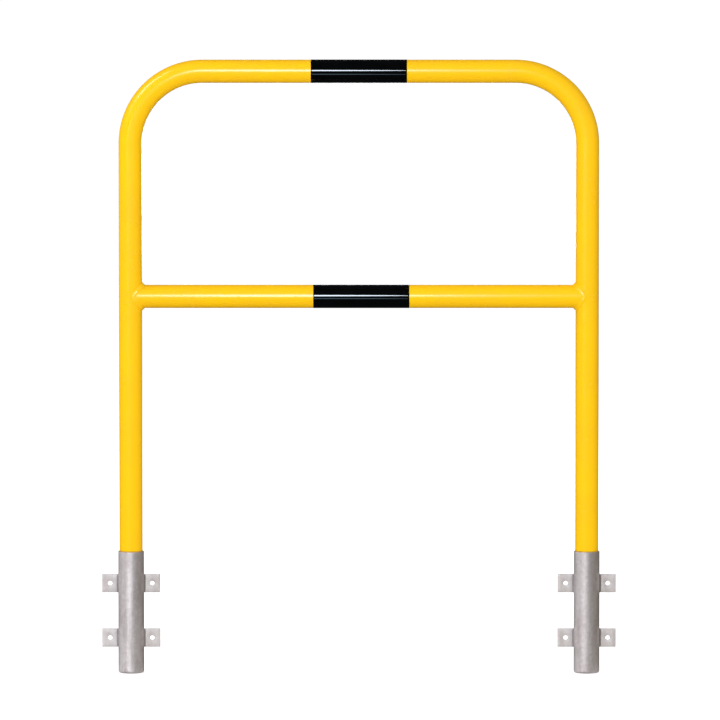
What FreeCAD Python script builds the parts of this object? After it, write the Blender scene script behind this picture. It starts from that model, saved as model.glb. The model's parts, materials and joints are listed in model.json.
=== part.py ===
# Removable safety hoop barrier: a bent tube hoop with a knee rail, standing in two ground sockets.
# Millimetres, +Z up, +X to the right and -Y towards the viewer, seen from the front.
# The origin is at ground level, midway between the sockets: the sockets lie below it, the hoop above.

import FreeCAD, Part
import Sketcher
import math
import os

VEC = FreeCAD.Vector
UP = VEC(0, 0, 1)

# Driving dimensions: alias, value in millimetres, what it measures
DIMENSIONS = [
    ("overall_width", 1000.0, "hoop, outside to outside of its legs"),
    ("height_above_ground", 1028.0, "ground level to the top of the hoop"),
    ("tube_diameter", 48.3, "outside of the hoop's tube and of the knee rail"),
    ("tube_wall", 2.5, "wall of the hoop's tube and of the knee rail"),
    ("bend_radius", 150.0, "centre line of the two bends"),
    ("knee_rail_height", 534.0, "ground level to the knee rail's centre line"),
    ("cope_tip_trim", 2.0, "how far the coped ends' points are cut back from the leg's centre line"),
    ("rail_weld_leg", 5.5, "knee rail seam, leg length in the corners above and below the rail"),
    ("rail_weld_half_width", 5.0, "knee rail seam, half its width at the front and back"),
    ("rail_weld_crown", 1.1, "knee rail seam, rise of its face at the front and back"),
    ("rail_weld_corner_crown", 0.4, "knee rail seam, rise of its face in the corners"),
    ("rail_weld_root", 1.5, "knee rail seam, depth of its root between the tubes"),
    ("rail_weld_toe_depth", 0.15, "knee rail seam, how far its edges melt into the tubes"),
    ("band_length", 200.0, "black bands, along the rail"),
    ("band_film", 0.2, "black bands, thickness of the film"),
    ("band_adhesive", 0.1, "black bands, layer of adhesive between the rail and the film"),
    ("band_lap", 12.0, "black bands, height of the lap at the back"),
    ("top_band_offset", 0.0, "top band's middle, to the right of the hoop's middle"),
    ("knee_band_offset", 5.0, "knee band's middle, to the right of the hoop's middle"),
    ("leg_clearance", 0.85, "gap all round between a leg and its socket"),
    ("seat_clearance", 0.3, "gap between a leg's end and the turned-in foot that stops it"),
    ("socket_wall", 2.0, "wall of the sockets"),
    ("socket_length", 255.0, "sockets, ground level to their lower end"),
    ("foot_lip", 6.0, "how far a socket's lower end is turned in, as a stop for the leg"),
    ("foot_bevel", 2.3, "chamfer round the sockets' lower ends"),
    ("edge_break", 0.5, "chamfer on the sockets' upper rims and on the legs' ends"),
    ("tab_reach", 34.0, "anchor tabs, from the socket's wall outwards"),
    ("tab_height", 39.0, "anchor tabs, height"),
    ("tab_thickness", 4.0, "anchor tabs, thickness"),
    ("tab_hole_diameter", 9.5, "hole in each anchor tab"),
    ("upper_tab_depth", 67.5, "ground level down to the middle of the upper tabs"),
    ("lower_tab_rise", 73.0, "sockets' lower end up to the middle of the lower tabs"),
    ("tab_weld_leg", 4.0, "tab seams, leg length"),
    ("tab_weld_face_radius", 10.0, "tab seams, radius of their rounded face"),
    ("tab_weld_setback", 1.0, "tab seams, how far they stop short of the tab's upper and lower edges"),
]

SIDES = {"left": -1, "right": 1}
FLANKS = {"outer": 1, "inner": -1}

# Share of a knee rail seam's width that keeps its sections apart on the inside of a corner
CORNER_SPARE = 0.08
# Degrees round the rail at which a knee rail seam's sections are drawn, closer towards the corner
SEAM_STATIONS = (15, 30, 45, 57, 68, 76)
# Steps in which a seam's section turns round the corner
SEAM_TURNS = (0, 0.5, 1)
# How near an edge has to be to the circle that is looked for
MATCH = 1e-4

doc = FreeCAD.newDocument("safety_hoop_barrier")
dims = doc.addObject("Spreadsheet::Sheet", "dims")
for row, (alias, size, meaning) in enumerate(DIMENSIONS, start=1):
    dims.set(f"A{row}", alias)
    dims.set(f"B{row}", str(size))
    dims.set(f"C{row}", meaning)
    dims.setAlias(f"B{row}", alias)
doc.recompute()


class Size:
    """A size from the sheet: its number, and the expression that ties a feature to it."""

    def __init__(self, number, text):
        self.number = number
        self.text = text

    def __float__(self):
        return self.number

    def __neg__(self):
        return Size(-self.number, f"(-{self.text})")

    def __add__(self, other):
        return self.joined("+", other, self.number + float(other))

    def __sub__(self, other):
        return self.joined("-", other, self.number - float(other))

    def __mul__(self, other):
        return self.joined("*", other, self.number * float(other))

    def __truediv__(self, other):
        return self.joined("/", other, self.number / float(other))

    def joined(self, sign, other, number):
        other_text = other.text if isinstance(other, Size) else str(other)
        return Size(number, f"({self.text} {sign} {other_text})")


def cell(alias):
    """The size that one cell of the sheet holds."""
    return Size(float(getattr(dims, alias)), f"dims.{alias}")


# Sizes that follow from the driving dimensions
TUBE_RADIUS = cell("tube_diameter") / 2
TUBE_BORE_RADIUS = TUBE_RADIUS - cell("tube_wall")
LEG_AXIS = cell("overall_width") / 2 - TUBE_RADIUS
TOP_RAIL_AXIS = cell("height_above_ground") - TUBE_RADIUS
LEG_END_DEPTH = cell("socket_length") - cell("socket_wall") - cell("seat_clearance")
BAND_BORE_RADIUS = TUBE_RADIUS + cell("band_adhesive")
BAND_RADIUS = BAND_BORE_RADIUS + cell("band_film")
SOCKET_BORE_RADIUS = TUBE_RADIUS + cell("leg_clearance")
SOCKET_RADIUS = SOCKET_BORE_RADIUS + cell("socket_wall")
TAB_HALF_THICKNESS = cell("tab_thickness") / 2
TAB_DEPTHS = {
    "upper": cell("upper_tab_depth"),
    "lower": cell("socket_length") - cell("lower_tab_rise"),
}


def new_body(label):
    """A body whose label names its file."""
    body = doc.addObject("PartDesign::Body", label)
    body.Label = label
    return body


def origin_plane(body, role):
    """One of the body's own origin planes."""
    return next(feature for feature in body.Origin.OriginFeatures if feature.Role == role)


def new_sketch(body, name, plane):
    """A sketch on one of the body's own origin planes."""
    sketch = body.newObject("Sketcher::SketchObject", name)
    sketch.AttachmentSupport = [(origin_plane(body, plane), "")]
    sketch.MapMode = "FlatFace"
    return sketch


def constrain(sketch, kind, *elements):
    """Adds a constraint that has no size."""
    sketch.addConstraint(Sketcher.Constraint(kind, *elements))


def hold(sketch, name, size, *elements):
    """Adds a dimension to a sketch and ties it to the sheet."""
    index = sketch.addConstraint(Sketcher.Constraint(*elements, float(size)))
    sketch.renameConstraint(index, name)
    sketch.setExpression(f"Constraints.{name}", size.text)


def close_up(sketch, lines):
    """Joins each line's end to the start of the next, all the way round."""
    for line, following in zip(lines, lines[1:] + lines[:1]):
        constrain(sketch, "Coincident", line, 2, following, 1)


def draw_line(sketch, start, end):
    return sketch.addGeometry(Part.LineSegment(VEC(*start, 0), VEC(*end, 0)), False)


def draw_arc(sketch, start, middle, end):
    return sketch.addGeometry(Part.Arc(VEC(*start, 0), VEC(*middle, 0), VEC(*end, 0)), False)


def draw_circle(sketch, centre, radius):
    return sketch.addGeometry(Part.Circle(VEC(*centre, 0), UP, float(radius)), False)


def draw_ring(sketch, outer_radius, inner_radius):
    """Two circles round the sketch's origin, as the section of a tube."""
    for name, radius in (("outer_radius", outer_radius), ("inner_radius", inner_radius)):
        circle = draw_circle(sketch, (0, 0), radius)
        constrain(sketch, "Coincident", circle, 3, -1, 1)
        hold(sketch, name, radius, "Radius", circle)


def add_pad(body, name, sketch, length):
    """Extrudes a sketch half to each side of its plane."""
    pad = body.newObject("PartDesign::Pad", name)
    pad.Profile = sketch
    pad.SideType = "Symmetric"
    pad.setExpression("Length", length.text)
    doc.recompute()
    return pad


def add_chamfer(body, name, size, circles):
    """Chamfers the level circles, each given by radius and height, of the body's last feature."""
    base = body.Tip
    names = []
    for index, edge in enumerate(base.Shape.Edges, start=1):
        if not isinstance(edge.Curve, Part.Circle):
            continue
        found = (edge.Curve.Radius, edge.Curve.Center.z)
        if any(math.dist(found, circle) < MATCH for circle in circles):
            names.append(f"Edge{index}")
    chamfer = body.newObject("PartDesign::Chamfer", name)
    chamfer.Base = (base, names)
    chamfer.setExpression("Size", size.text)
    doc.recompute()


# Hoop tube: a ring section swept up one leg, round both bends and down the other leg
def make_hoop_tube():
    body = new_body("hoop_tube")
    axis = float(LEG_AXIS)
    foot = -float(LEG_END_DEPTH)
    top = float(TOP_RAIL_AXIS)
    bend = float(cell("bend_radius"))
    spring = top - bend
    mid = bend * math.sqrt(0.5)

    path = new_sketch(body, "hoop_path", "XZ_Plane")
    left_leg = draw_line(path, (-axis, foot), (-axis, spring))
    left_bend = draw_arc(path, (-axis, spring), (-axis + bend - mid, spring + mid), (-axis + bend, top))
    top_rail = draw_line(path, (-axis + bend, top), (axis - bend, top))
    right_bend = draw_arc(path, (axis - bend, top), (axis - bend + mid, spring + mid), (axis, spring))
    right_leg = draw_line(path, (axis, spring), (axis, foot))
    # A sketch keeps its arcs anticlockwise, so each bend starts at its right-hand end
    constrain(path, "Tangent", left_leg, 2, left_bend, 2)
    constrain(path, "Tangent", left_bend, 1, top_rail, 1)
    constrain(path, "Tangent", top_rail, 2, right_bend, 2)
    constrain(path, "Tangent", right_bend, 1, right_leg, 1)
    constrain(path, "Vertical", left_leg)
    constrain(path, "Horizontal", top_rail)
    constrain(path, "Equal", left_bend, right_bend)
    constrain(path, "Symmetric", left_leg, 1, right_leg, 2, -2)
    hold(path, "bend", cell("bend_radius"), "Radius", left_bend)
    hold(path, "leg_axis", LEG_AXIS, "DistanceX", -1, 1, right_leg, 2)
    hold(path, "leg_end", LEG_END_DEPTH, "DistanceY", right_leg, 2, -1, 1)
    hold(path, "top_axis", TOP_RAIL_AXIS, "DistanceY", -1, 1, top_rail, 1)

    section = new_sketch(body, "hoop_section", "XY_Plane")
    draw_ring(section, TUBE_RADIUS, TUBE_BORE_RADIUS)
    section.setExpression("AttachmentOffset.Base.x", (-LEG_AXIS).text)
    section.setExpression("AttachmentOffset.Base.z", (-LEG_END_DEPTH).text)
    doc.recompute()

    sweep = body.newObject("PartDesign::AdditivePipe", "hoop_sweep")
    sweep.Profile = section
    sweep.Spine = (path, [f"Edge{i}" for i in range(1, path.GeometryCount + 1)])
    doc.recompute()
    add_chamfer(body, "leg_ends", cell("edge_break"), [(float(TUBE_RADIUS), foot)])
    return body


# Knee rail: a straight tube, both ends cut to the round of the legs
def make_knee_rail():
    body = new_body("knee_rail")
    section = new_sketch(body, "rail_section", "YZ_Plane")
    draw_ring(section, TUBE_RADIUS, TUBE_BORE_RADIUS)
    add_pad(body, "rail_tube", section, (LEG_AXIS - cell("cope_tip_trim")) * 2)

    copes = new_sketch(body, "rail_copes", "XY_Plane")
    for side, sign in SIDES.items():
        leg = draw_circle(copes, (sign * float(LEG_AXIS), 0), TUBE_RADIUS)
        ends = (-1, 1, leg, 3) if sign > 0 else (leg, 3, -1, 1)
        constrain(copes, "PointOnObject", leg, 3, -1)
        hold(copes, f"{side}_leg_axis", LEG_AXIS, "DistanceX", *ends)
        hold(copes, f"{side}_leg_radius", TUBE_RADIUS, "Radius", leg)
    doc.recompute()
    cut = body.newObject("PartDesign::Pocket", "rail_cope_cut")
    cut.Profile = copes
    cut.SideType = "Symmetric"
    cut.Type = "ThroughAll"
    doc.recompute()
    body.setExpression("Placement.Base.z", "dims.knee_rail_height")
    return body


def seam_section(angle, turn):
    """One closed section of the upper half of a knee rail seam, about the centre of the joint.

    The seam follows the line where the rail meets the leg, which lies in the plane x = z. The
    angle goes round the rail from its top. At the front and back of the leg the seam's two halves
    meet in a corner: there the angle stays at a right angle while turn, from 0 to 1, swings the
    section round the corner into the level plane that both halves share.
    """
    radius = float(TUBE_RADIUS)
    sunk_radius = radius - float(cell("rail_weld_toe_depth"))
    side_width = float(cell("rail_weld_half_width"))
    side_crown = float(cell("rail_weld_crown"))
    cos = math.cos(angle)
    sin = math.sin(angle)
    # Full corner size at the top of the rail, side size at its front and back
    width = side_width + cos ** 2 * (float(cell("rail_weld_leg")) - side_width)
    rise = side_crown + cos ** 2 * (float(cell("rail_weld_corner_crown")) - side_crown)

    outward = VEC(cos, 2 * sin, cos).normalize()
    root = VEC(cos, sin, cos) * radius
    if abs(sin) < 1:
        leg_toe = root + VEC(-sin ** 2, cos * sin, 1).normalize() * width
        rail_toe = root + VEC(1, cos * sin, -sin ** 2).normalize() * width
    else:
        swing = math.pi / 4 * (1 - turn)
        spare = CORNER_SPARE * width * (1 - turn)
        leg_toe = root + VEC(-math.cos(swing), 0, math.sin(swing)) * width
        rail_toe = root + VEC(width * math.sqrt(2) + spare, 0, spare)
    leg_share = sunk_radius / math.hypot(leg_toe.x, leg_toe.y)
    leg_toe = VEC(leg_toe.x * leg_share, leg_toe.y * leg_share, leg_toe.z)
    rail_share = sunk_radius / math.hypot(rail_toe.y, rail_toe.z)
    rail_toe = VEC(rail_toe.x, rail_toe.y * rail_share, rail_toe.z * rail_share)

    middle = (leg_toe + rail_toe) * 0.5
    buried = middle - outward * (outward.dot(middle - root) + float(cell("rail_weld_root")))
    face = Part.Arc(leg_toe, middle + outward * rise, rail_toe).toShape()
    return Part.Wire([face, Part.makeLine(rail_toe, buried), Part.makeLine(buried, leg_toe)])


# Knee rail seams: weld metal outside the tubes, fuller in the corners than at front and back
def make_knee_rail_welds():
    radius = float(TUBE_RADIUS)
    stations = [(math.radians(degrees), 0) for degrees in SEAM_STATIONS]
    stations += [(math.pi / 2, turn) for turn in SEAM_TURNS]
    front = [seam_section(-angle, turn) for angle, turn in reversed(stations)]
    back = [seam_section(angle, turn) for angle, turn in stations]
    upper = Part.makeLoft(front + [seam_section(0, 0)] + back, True, False)
    reach = 4 * radius
    leg = Part.makeCylinder(radius, 2 * reach, VEC(0, 0, -reach), UP)
    rail = Part.makeCylinder(radius, 2 * reach, VEC(-reach, 0, 0), VEC(1, 0, 0))
    upper = upper.cut(leg).cut(rail)
    lower = upper.mirror(VEC(0, 0, 0), UP)
    left = upper.fuse(lower).removeSplitter()
    left.translate(VEC(-float(LEG_AXIS), 0, 0))
    right = left.copy()
    right.rotate(VEC(0, 0, 0), UP, 180)

    welds = doc.addObject("Part::Feature", "knee_rail_welds")
    welds.Label = "knee_rail_welds"
    welds.Shape = Part.makeCompound([left, right])
    welds.setExpression("Placement.Base.z", "dims.knee_rail_height")
    return welds


# Black bands: film wrapped once round a rail, its end lapped over its start at the back
def make_band(label, offset, height):
    body = new_body(label)
    wrap = new_sketch(body, f"{label}_wrap", "YZ_Plane")
    draw_ring(wrap, BAND_RADIUS, BAND_BORE_RADIUS)
    add_pad(body, f"{label}_film", wrap, cell("band_length"))

    lap = new_sketch(body, f"{label}_lap", "YZ_Plane")
    lap_radius = BAND_RADIUS + cell("band_film")
    inside = float(BAND_RADIUS)
    outside = float(lap_radius)
    sin = float(cell("band_lap")) / 2 / inside
    cos = math.sqrt(1 - sin ** 2)
    inner = draw_arc(lap, (inside * cos, -inside * sin), (inside, 0), (inside * cos, inside * sin))
    outer = draw_arc(lap, (outside * cos, -outside * sin), (outside, 0), (outside * cos, outside * sin))
    upper_end = draw_line(lap, (inside * cos, inside * sin), (outside * cos, outside * sin))
    lower_end = draw_line(lap, (outside * cos, -outside * sin), (inside * cos, -inside * sin))
    constrain(lap, "Coincident", inner, 2, upper_end, 1)
    constrain(lap, "Coincident", upper_end, 2, outer, 2)
    constrain(lap, "Coincident", outer, 1, lower_end, 1)
    constrain(lap, "Coincident", lower_end, 2, inner, 1)
    for arc in (inner, outer):
        constrain(lap, "Coincident", arc, 3, -1, 1)
        constrain(lap, "Vertical", arc, 1, arc, 2)
    constrain(lap, "PointOnObject", -1, 1, upper_end)
    hold(lap, "inner_radius", BAND_RADIUS, "Radius", inner)
    hold(lap, "outer_radius", lap_radius, "Radius", outer)
    hold(lap, "lap_height", cell("band_lap"), "DistanceY", inner, 1, inner, 2)
    add_pad(body, f"{label}_lapped_end", lap, cell("band_length"))
    body.setExpression("Placement.Base.x", offset.text)
    body.setExpression("Placement.Base.z", height.text)
    return body


# Socket: one tube, its lower end turned in to a lip that stops the leg and lets water drain
def make_socket_tube(side, sign):
    label = f"{side}_socket_tube"
    body = new_body(label)
    outside = float(SOCKET_RADIUS)
    bore = float(SOCKET_BORE_RADIUS)
    bottom = -float(cell("socket_length"))
    seat = bottom + float(cell("socket_wall"))
    lip_x = bore - float(cell("foot_lip"))

    profile = new_sketch(body, f"{label}_profile", "XZ_Plane")
    under = draw_line(profile, (lip_x, bottom), (outside, bottom))
    outer_wall = draw_line(profile, (outside, bottom), (outside, 0))
    rim = draw_line(profile, (outside, 0), (bore, 0))
    inner_wall = draw_line(profile, (bore, 0), (bore, seat))
    stop = draw_line(profile, (bore, seat), (lip_x, seat))
    lip = draw_line(profile, (lip_x, seat), (lip_x, bottom))
    close_up(profile, [under, outer_wall, rim, inner_wall, stop, lip])
    for level in (under, rim, stop):
        constrain(profile, "Horizontal", level)
    for upright in (outer_wall, inner_wall, lip):
        constrain(profile, "Vertical", upright)
    constrain(profile, "PointOnObject", rim, 1, -1)
    hold(profile, "outside_radius", SOCKET_RADIUS, "DistanceX", -1, 1, rim, 1)
    hold(profile, "bore_radius", SOCKET_BORE_RADIUS, "DistanceX", -1, 1, rim, 2)
    hold(profile, "length", cell("socket_length"), "DistanceY", under, 1, -1, 1)
    hold(profile, "lip_wall", cell("socket_wall"), "DistanceY", under, 1, stop, 2)
    hold(profile, "lip_reach", cell("foot_lip"), "DistanceX", stop, 2, stop, 1)
    doc.recompute()

    turned = body.newObject("PartDesign::Revolution", f"{label}_turned")
    turned.Profile = profile
    turned.ReferenceAxis = (profile, ["V_Axis"])
    turned.Angle = 360
    doc.recompute()
    add_chamfer(body, f"{label}_rim", cell("edge_break"), [(outside, 0), (bore, 0)])
    add_chamfer(body, f"{label}_foot", cell("foot_bevel"), [(outside, bottom)])
    body.setExpression("Placement.Base.x", (LEG_AXIS * sign).text)
    return body


def place_on_socket(piece, sign, flank, depth):
    """Turns a piece drawn on a socket's +X flank to the chosen flank, and sets it on the socket."""
    angle = 0 if sign * flank > 0 else 180
    piece.Placement = FreeCAD.Placement(VEC(0, 0, 0), FreeCAD.Rotation(UP, angle))
    piece.setExpression("Placement.Base.x", (LEG_AXIS * sign).text)
    piece.setExpression("Placement.Base.z", (-depth).text)


# Anchor tab: flat bar with one hole, edge on to the socket's wall
def make_tab(label):
    body = new_body(label)
    hole_place = SOCKET_RADIUS + cell("tab_reach") / 2
    start = float(SOCKET_RADIUS)
    end = start + float(cell("tab_reach"))
    half = float(cell("tab_height")) / 2

    outline = new_sketch(body, f"{label}_outline", "XZ_Plane")
    foot = draw_line(outline, (start, -half), (end, -half))
    outer_end = draw_line(outline, (end, -half), (end, half))
    top = draw_line(outline, (end, half), (start, half))
    root = draw_line(outline, (start, half), (start, -half))
    close_up(outline, [foot, outer_end, top, root])
    constrain(outline, "Horizontal", foot)
    constrain(outline, "Horizontal", top)
    constrain(outline, "Vertical", outer_end)
    constrain(outline, "Symmetric", root, 1, root, 2, -1)
    hold(outline, "root", SOCKET_RADIUS, "DistanceX", -1, 1, foot, 1)
    hold(outline, "reach", cell("tab_reach"), "DistanceX", foot, 1, foot, 2)
    hold(outline, "height", cell("tab_height"), "DistanceY", outer_end, 1, outer_end, 2)
    hole = draw_circle(outline, (float(hole_place), 0), cell("tab_hole_diameter") / 2)
    constrain(outline, "PointOnObject", hole, 3, -1)
    hold(outline, "hole_place", hole_place, "DistanceX", -1, 1, hole, 3)
    hold(outline, "hole_radius", cell("tab_hole_diameter") / 2, "Radius", hole)
    add_pad(body, f"{label}_plate", outline, cell("tab_thickness"))
    return body


# Tab seams: one fillet weld behind the tab's root and one in front of it
def make_tab_weld(label):
    body = new_body(label)
    radius = float(SOCKET_RADIUS)
    face = float(TAB_HALF_THICKNESS)
    leg = float(cell("tab_weld_leg"))
    face_radius = float(cell("tab_weld_face_radius"))
    toe_height = face + leg
    root = (math.sqrt(radius ** 2 - face ** 2), face)
    tab_toe = (radius + leg, face)
    wall_toe = (math.sqrt(radius ** 2 - toe_height ** 2), toe_height)
    bisector = (math.atan2(face, root[0]) + math.atan2(toe_height, wall_toe[0])) / 2
    wall_middle = (radius * math.cos(bisector), radius * math.sin(bisector))
    half_chord = math.dist(tab_toe, wall_toe) / 2
    crown = face_radius - math.sqrt(face_radius ** 2 - half_chord ** 2)
    out_x = leg / 2 / half_chord
    out_y = (tab_toe[0] - wall_toe[0]) / 2 / half_chord
    face_middle = (
        (tab_toe[0] + wall_toe[0]) / 2 + crown * out_x,
        (tab_toe[1] + wall_toe[1]) / 2 + crown * out_y,
    )

    section = new_sketch(body, f"{label}_section", "XY_Plane")
    wall_side = draw_arc(section, root, wall_middle, wall_toe)
    weld_face = draw_arc(section, tab_toe, face_middle, wall_toe)
    tab_side = draw_line(section, root, tab_toe)
    constrain(section, "Coincident", wall_side, 2, weld_face, 2)
    constrain(section, "Coincident", weld_face, 1, tab_side, 2)
    constrain(section, "Coincident", tab_side, 1, wall_side, 1)
    constrain(section, "Coincident", wall_side, 3, -1, 1)
    constrain(section, "Horizontal", tab_side)
    hold(section, "wall_radius", SOCKET_RADIUS, "Radius", wall_side)
    hold(section, "tab_face", TAB_HALF_THICKNESS, "DistanceY", -1, 1, tab_side, 1)
    hold(section, "tab_toe", SOCKET_RADIUS + cell("tab_weld_leg"), "DistanceX", -1, 1, tab_side, 2)
    hold(section, "wall_toe", cell("tab_weld_leg"), "DistanceY", tab_side, 2, weld_face, 2)
    hold(section, "face_radius", cell("tab_weld_face_radius"), "Radius", weld_face)
    back = add_pad(body, f"{label}_back", section, cell("tab_height") - cell("tab_weld_setback") * 2)

    front = body.newObject("PartDesign::Mirrored", f"{label}_front")
    front.Originals = [back]
    front.MirrorPlane = (origin_plane(body, "XZ_Plane"), [""])
    body.Tip = front
    doc.recompute()
    return body


pieces = [make_hoop_tube(), make_knee_rail(), make_knee_rail_welds()]
pieces.append(make_band("top_rail_band", cell("top_band_offset"), TOP_RAIL_AXIS))
pieces.append(make_band("knee_rail_band", cell("knee_band_offset"), cell("knee_rail_height")))
for side, sign in SIDES.items():
    pieces.append(make_socket_tube(side, sign))
    for level, depth in TAB_DEPTHS.items():
        for flank_name, flank in FLANKS.items():
            label = f"{side}_socket_{level}_{flank_name}_tab"
            for piece in (make_tab(label), make_tab_weld(f"{label}_weld")):
                place_on_socket(piece, sign, flank, depth)
                pieces.append(piece)
doc.recompute()

# Every object has to be sound before anything is written
for thing in doc.Objects:
    if {"Invalid", "Error"} & set(thing.State):
        raise RuntimeError(f"{thing.Label} failed to build: {thing.State}")
for piece in pieces:
    if piece.Shape.isNull() or not piece.Shape.isValid() or not piece.Shape.Solids:
        raise RuntimeError(f"{piece.Label} has no sound solid")

os.makedirs("parts", exist_ok=True)
for piece in pieces:
    piece.Shape.exportStep(f"parts/{piece.Label}.step")
    box = piece.Shape.BoundBox
    print(
        f"{piece.Label}: {len(piece.Shape.Solids)} solid(s), {piece.Shape.Volume:.0f} mm3,"
        f" x {box.XMin:.1f} to {box.XMax:.1f}, y {box.YMin:.1f} to {box.YMax:.1f},"
        f" z {box.ZMin:.1f} to {box.ZMax:.1f}"
    )
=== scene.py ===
import json
from math import asin, cos, pi, radians, sin, sqrt

import bmesh
import bpy
from bpy.props import FloatProperty, FloatVectorProperty, PointerProperty
from mathutils import Matrix, Vector, noise

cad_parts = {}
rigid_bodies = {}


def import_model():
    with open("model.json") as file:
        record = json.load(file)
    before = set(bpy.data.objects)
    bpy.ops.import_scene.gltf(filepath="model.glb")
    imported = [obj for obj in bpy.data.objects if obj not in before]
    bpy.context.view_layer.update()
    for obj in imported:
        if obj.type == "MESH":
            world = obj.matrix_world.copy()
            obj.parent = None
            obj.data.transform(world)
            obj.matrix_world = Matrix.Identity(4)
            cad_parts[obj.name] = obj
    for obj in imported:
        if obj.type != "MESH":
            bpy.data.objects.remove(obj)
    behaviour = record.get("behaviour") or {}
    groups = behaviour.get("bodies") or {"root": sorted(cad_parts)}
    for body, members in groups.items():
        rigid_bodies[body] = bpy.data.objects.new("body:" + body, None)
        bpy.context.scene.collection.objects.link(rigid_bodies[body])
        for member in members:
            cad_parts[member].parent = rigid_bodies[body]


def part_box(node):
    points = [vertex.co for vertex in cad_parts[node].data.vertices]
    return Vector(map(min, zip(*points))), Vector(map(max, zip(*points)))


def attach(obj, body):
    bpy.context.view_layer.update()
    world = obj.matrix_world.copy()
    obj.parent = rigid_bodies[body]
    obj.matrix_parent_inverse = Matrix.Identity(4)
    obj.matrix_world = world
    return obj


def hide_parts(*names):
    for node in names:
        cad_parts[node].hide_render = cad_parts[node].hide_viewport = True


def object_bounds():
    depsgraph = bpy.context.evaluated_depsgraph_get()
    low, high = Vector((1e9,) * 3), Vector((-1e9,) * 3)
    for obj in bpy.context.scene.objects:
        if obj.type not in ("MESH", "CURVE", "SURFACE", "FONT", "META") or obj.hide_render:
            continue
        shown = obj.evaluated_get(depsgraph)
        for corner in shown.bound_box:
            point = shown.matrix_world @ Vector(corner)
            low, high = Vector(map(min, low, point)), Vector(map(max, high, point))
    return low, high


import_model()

bl_info = {
    "name": "Safety hoop barrier",
    "version": (1, 0, 0),
    "blender": (4, 5, 0),
    "location": "View3D > Sidebar > Hoop barrier",
    "description": "Builds a yellow tube hoop with a knee rail and black bands, "
                   "standing in two galvanised ground sockets",
    "category": "Add Mesh",
}

CAD_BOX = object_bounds()

HOOP = "hoop"
SOCKETS = "ground_sockets"
SIDES = ("left", "right")
LEVELS = ("upper", "lower")
FLANKS = ("outer", "inner")

RAIL_LOW, RAIL_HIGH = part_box("knee_rail")
HOOP_LOW, HOOP_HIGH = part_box("hoop_tube")
SOCKET_LOW, SOCKET_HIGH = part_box("left_socket_tube")

# Fineness of the meshes
TUBE_SIDES = 80
BEND_STEPS = 36
SEAM_STEPS = 460
SEAM_STRIPS = 22
TAB_SEAM_STEPS = 84
TAB_SEAM_STRIPS = 14
HOLE_SIDES = 48
BAND_SIDES = 144
SOCKET_SIDES = 96
SOCKET_RINGS = 90
FOOT_STEPS = 7
EDGE_STEPS = 3
FINE_EDGE_STEPS = 2
MERGE = 1e-6

# An edge that turns by more than this, in degrees, is shaded sharp, or broken at a tube's end
SHARP = 50.0
FILM_SHARP = 40.0
TAB_SHARP = 20.0
SEAM_SHARP = 80.0

# Short land at a tube's or film's end, half a tab's thickness, and the turn in degrees from which a tab's
# edge is rounded
END_LAND = 0.003
HALF_TAB = 0.002
ROUNDED_FROM = 40.0

# Weld seams: share of the section that shows, depth of the buried roots, tapered end of a tab seam,
# length of the rail seam's line against the rail's round, and shift between two seams' ripples
FACE_SHARE = 0.68
SEAM_ROOT = 0.0016
TAB_SEAM_ROOT = 0.0009
TAB_SEAM_END = 0.0024
SEAM_LINE = 1.22
RAIL_SEAM_SHIFT = 0.9
TAB_SEAM_SHIFT = 0.3

# How much of the film's thickness its lap adds
LAP_SHARE = 0.98

# Uneven zinc: its draw along the socket, fineness of its swells and ripples, the ripples' share, the
# sink that keeps it inside the socket's size, the plain lengths at foot and rim, and the skin it moves
ZINC_DRAW = 0.35
ZINC_SWELLS = 55.0
ZINC_RIPPLES = 160.0
ZINC_RIPPLE_SHARE = 0.6
ZINC_SINK = 0.6
PLAIN_FOOT = 0.006
PLAIN_RIM = 0.002
SKIN = 0.0001

# Painted shade ring on the legs above the rims: level, half width, where it has faded out, and strength
RING_LEVEL = 0.0010
RING_HALF = 0.0006
RING_FADE = 0.0016
RING_STRENGTH = 0.45


def length(name, description, default):
    """A size in metres that a user may change."""
    return FloatProperty(name=name, description=description, default=default, min=0.0,
                         unit="LENGTH", subtype="DISTANCE")


def colour(name, description, default):
    """A colour that a user may change."""
    return FloatVectorProperty(name=name, description=description, default=default, min=0.0, max=1.0,
                               size=4, subtype="COLOR")


def light_level(name, lamps, default):
    """The brightness of lights that a user may change."""
    return FloatProperty(name=name, description=f"Brightness of the {lamps}", default=default, min=0.0)


class HoopSizes(bpy.types.PropertyGroup):
    """Sizes of the bent hoop tube and the knee rail"""
    tube_diameter: length("Tube diameter", "Outside diameter of hoop and knee rail",
                          RAIL_HIGH.z - RAIL_LOW.z)
    tube_wall: length("Tube wall", "Wall of hoop and knee rail", 0.0025)
    bend_radius: length("Bend radius", "Radius of the two bends, at the tube's axis", 0.150)
    leg_axis: length("Leg axis", "From the middle of the hoop to a leg's axis",
                     -(SOCKET_LOW.x + SOCKET_HIGH.x) / 2)
    height: length("Height", "From ground level to the top of the hoop", HOOP_HIGH.z)
    leg_depth: length("Leg depth", "How far the legs reach below ground level", -HOOP_LOW.z)
    knee_height: length("Knee rail height", "From ground level to the knee rail's axis",
                        (RAIL_LOW.z + RAIL_HIGH.z) / 2)
    broken_edge: length("Broken edge", "Rounding of the legs' cut ends", 0.0005)


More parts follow.
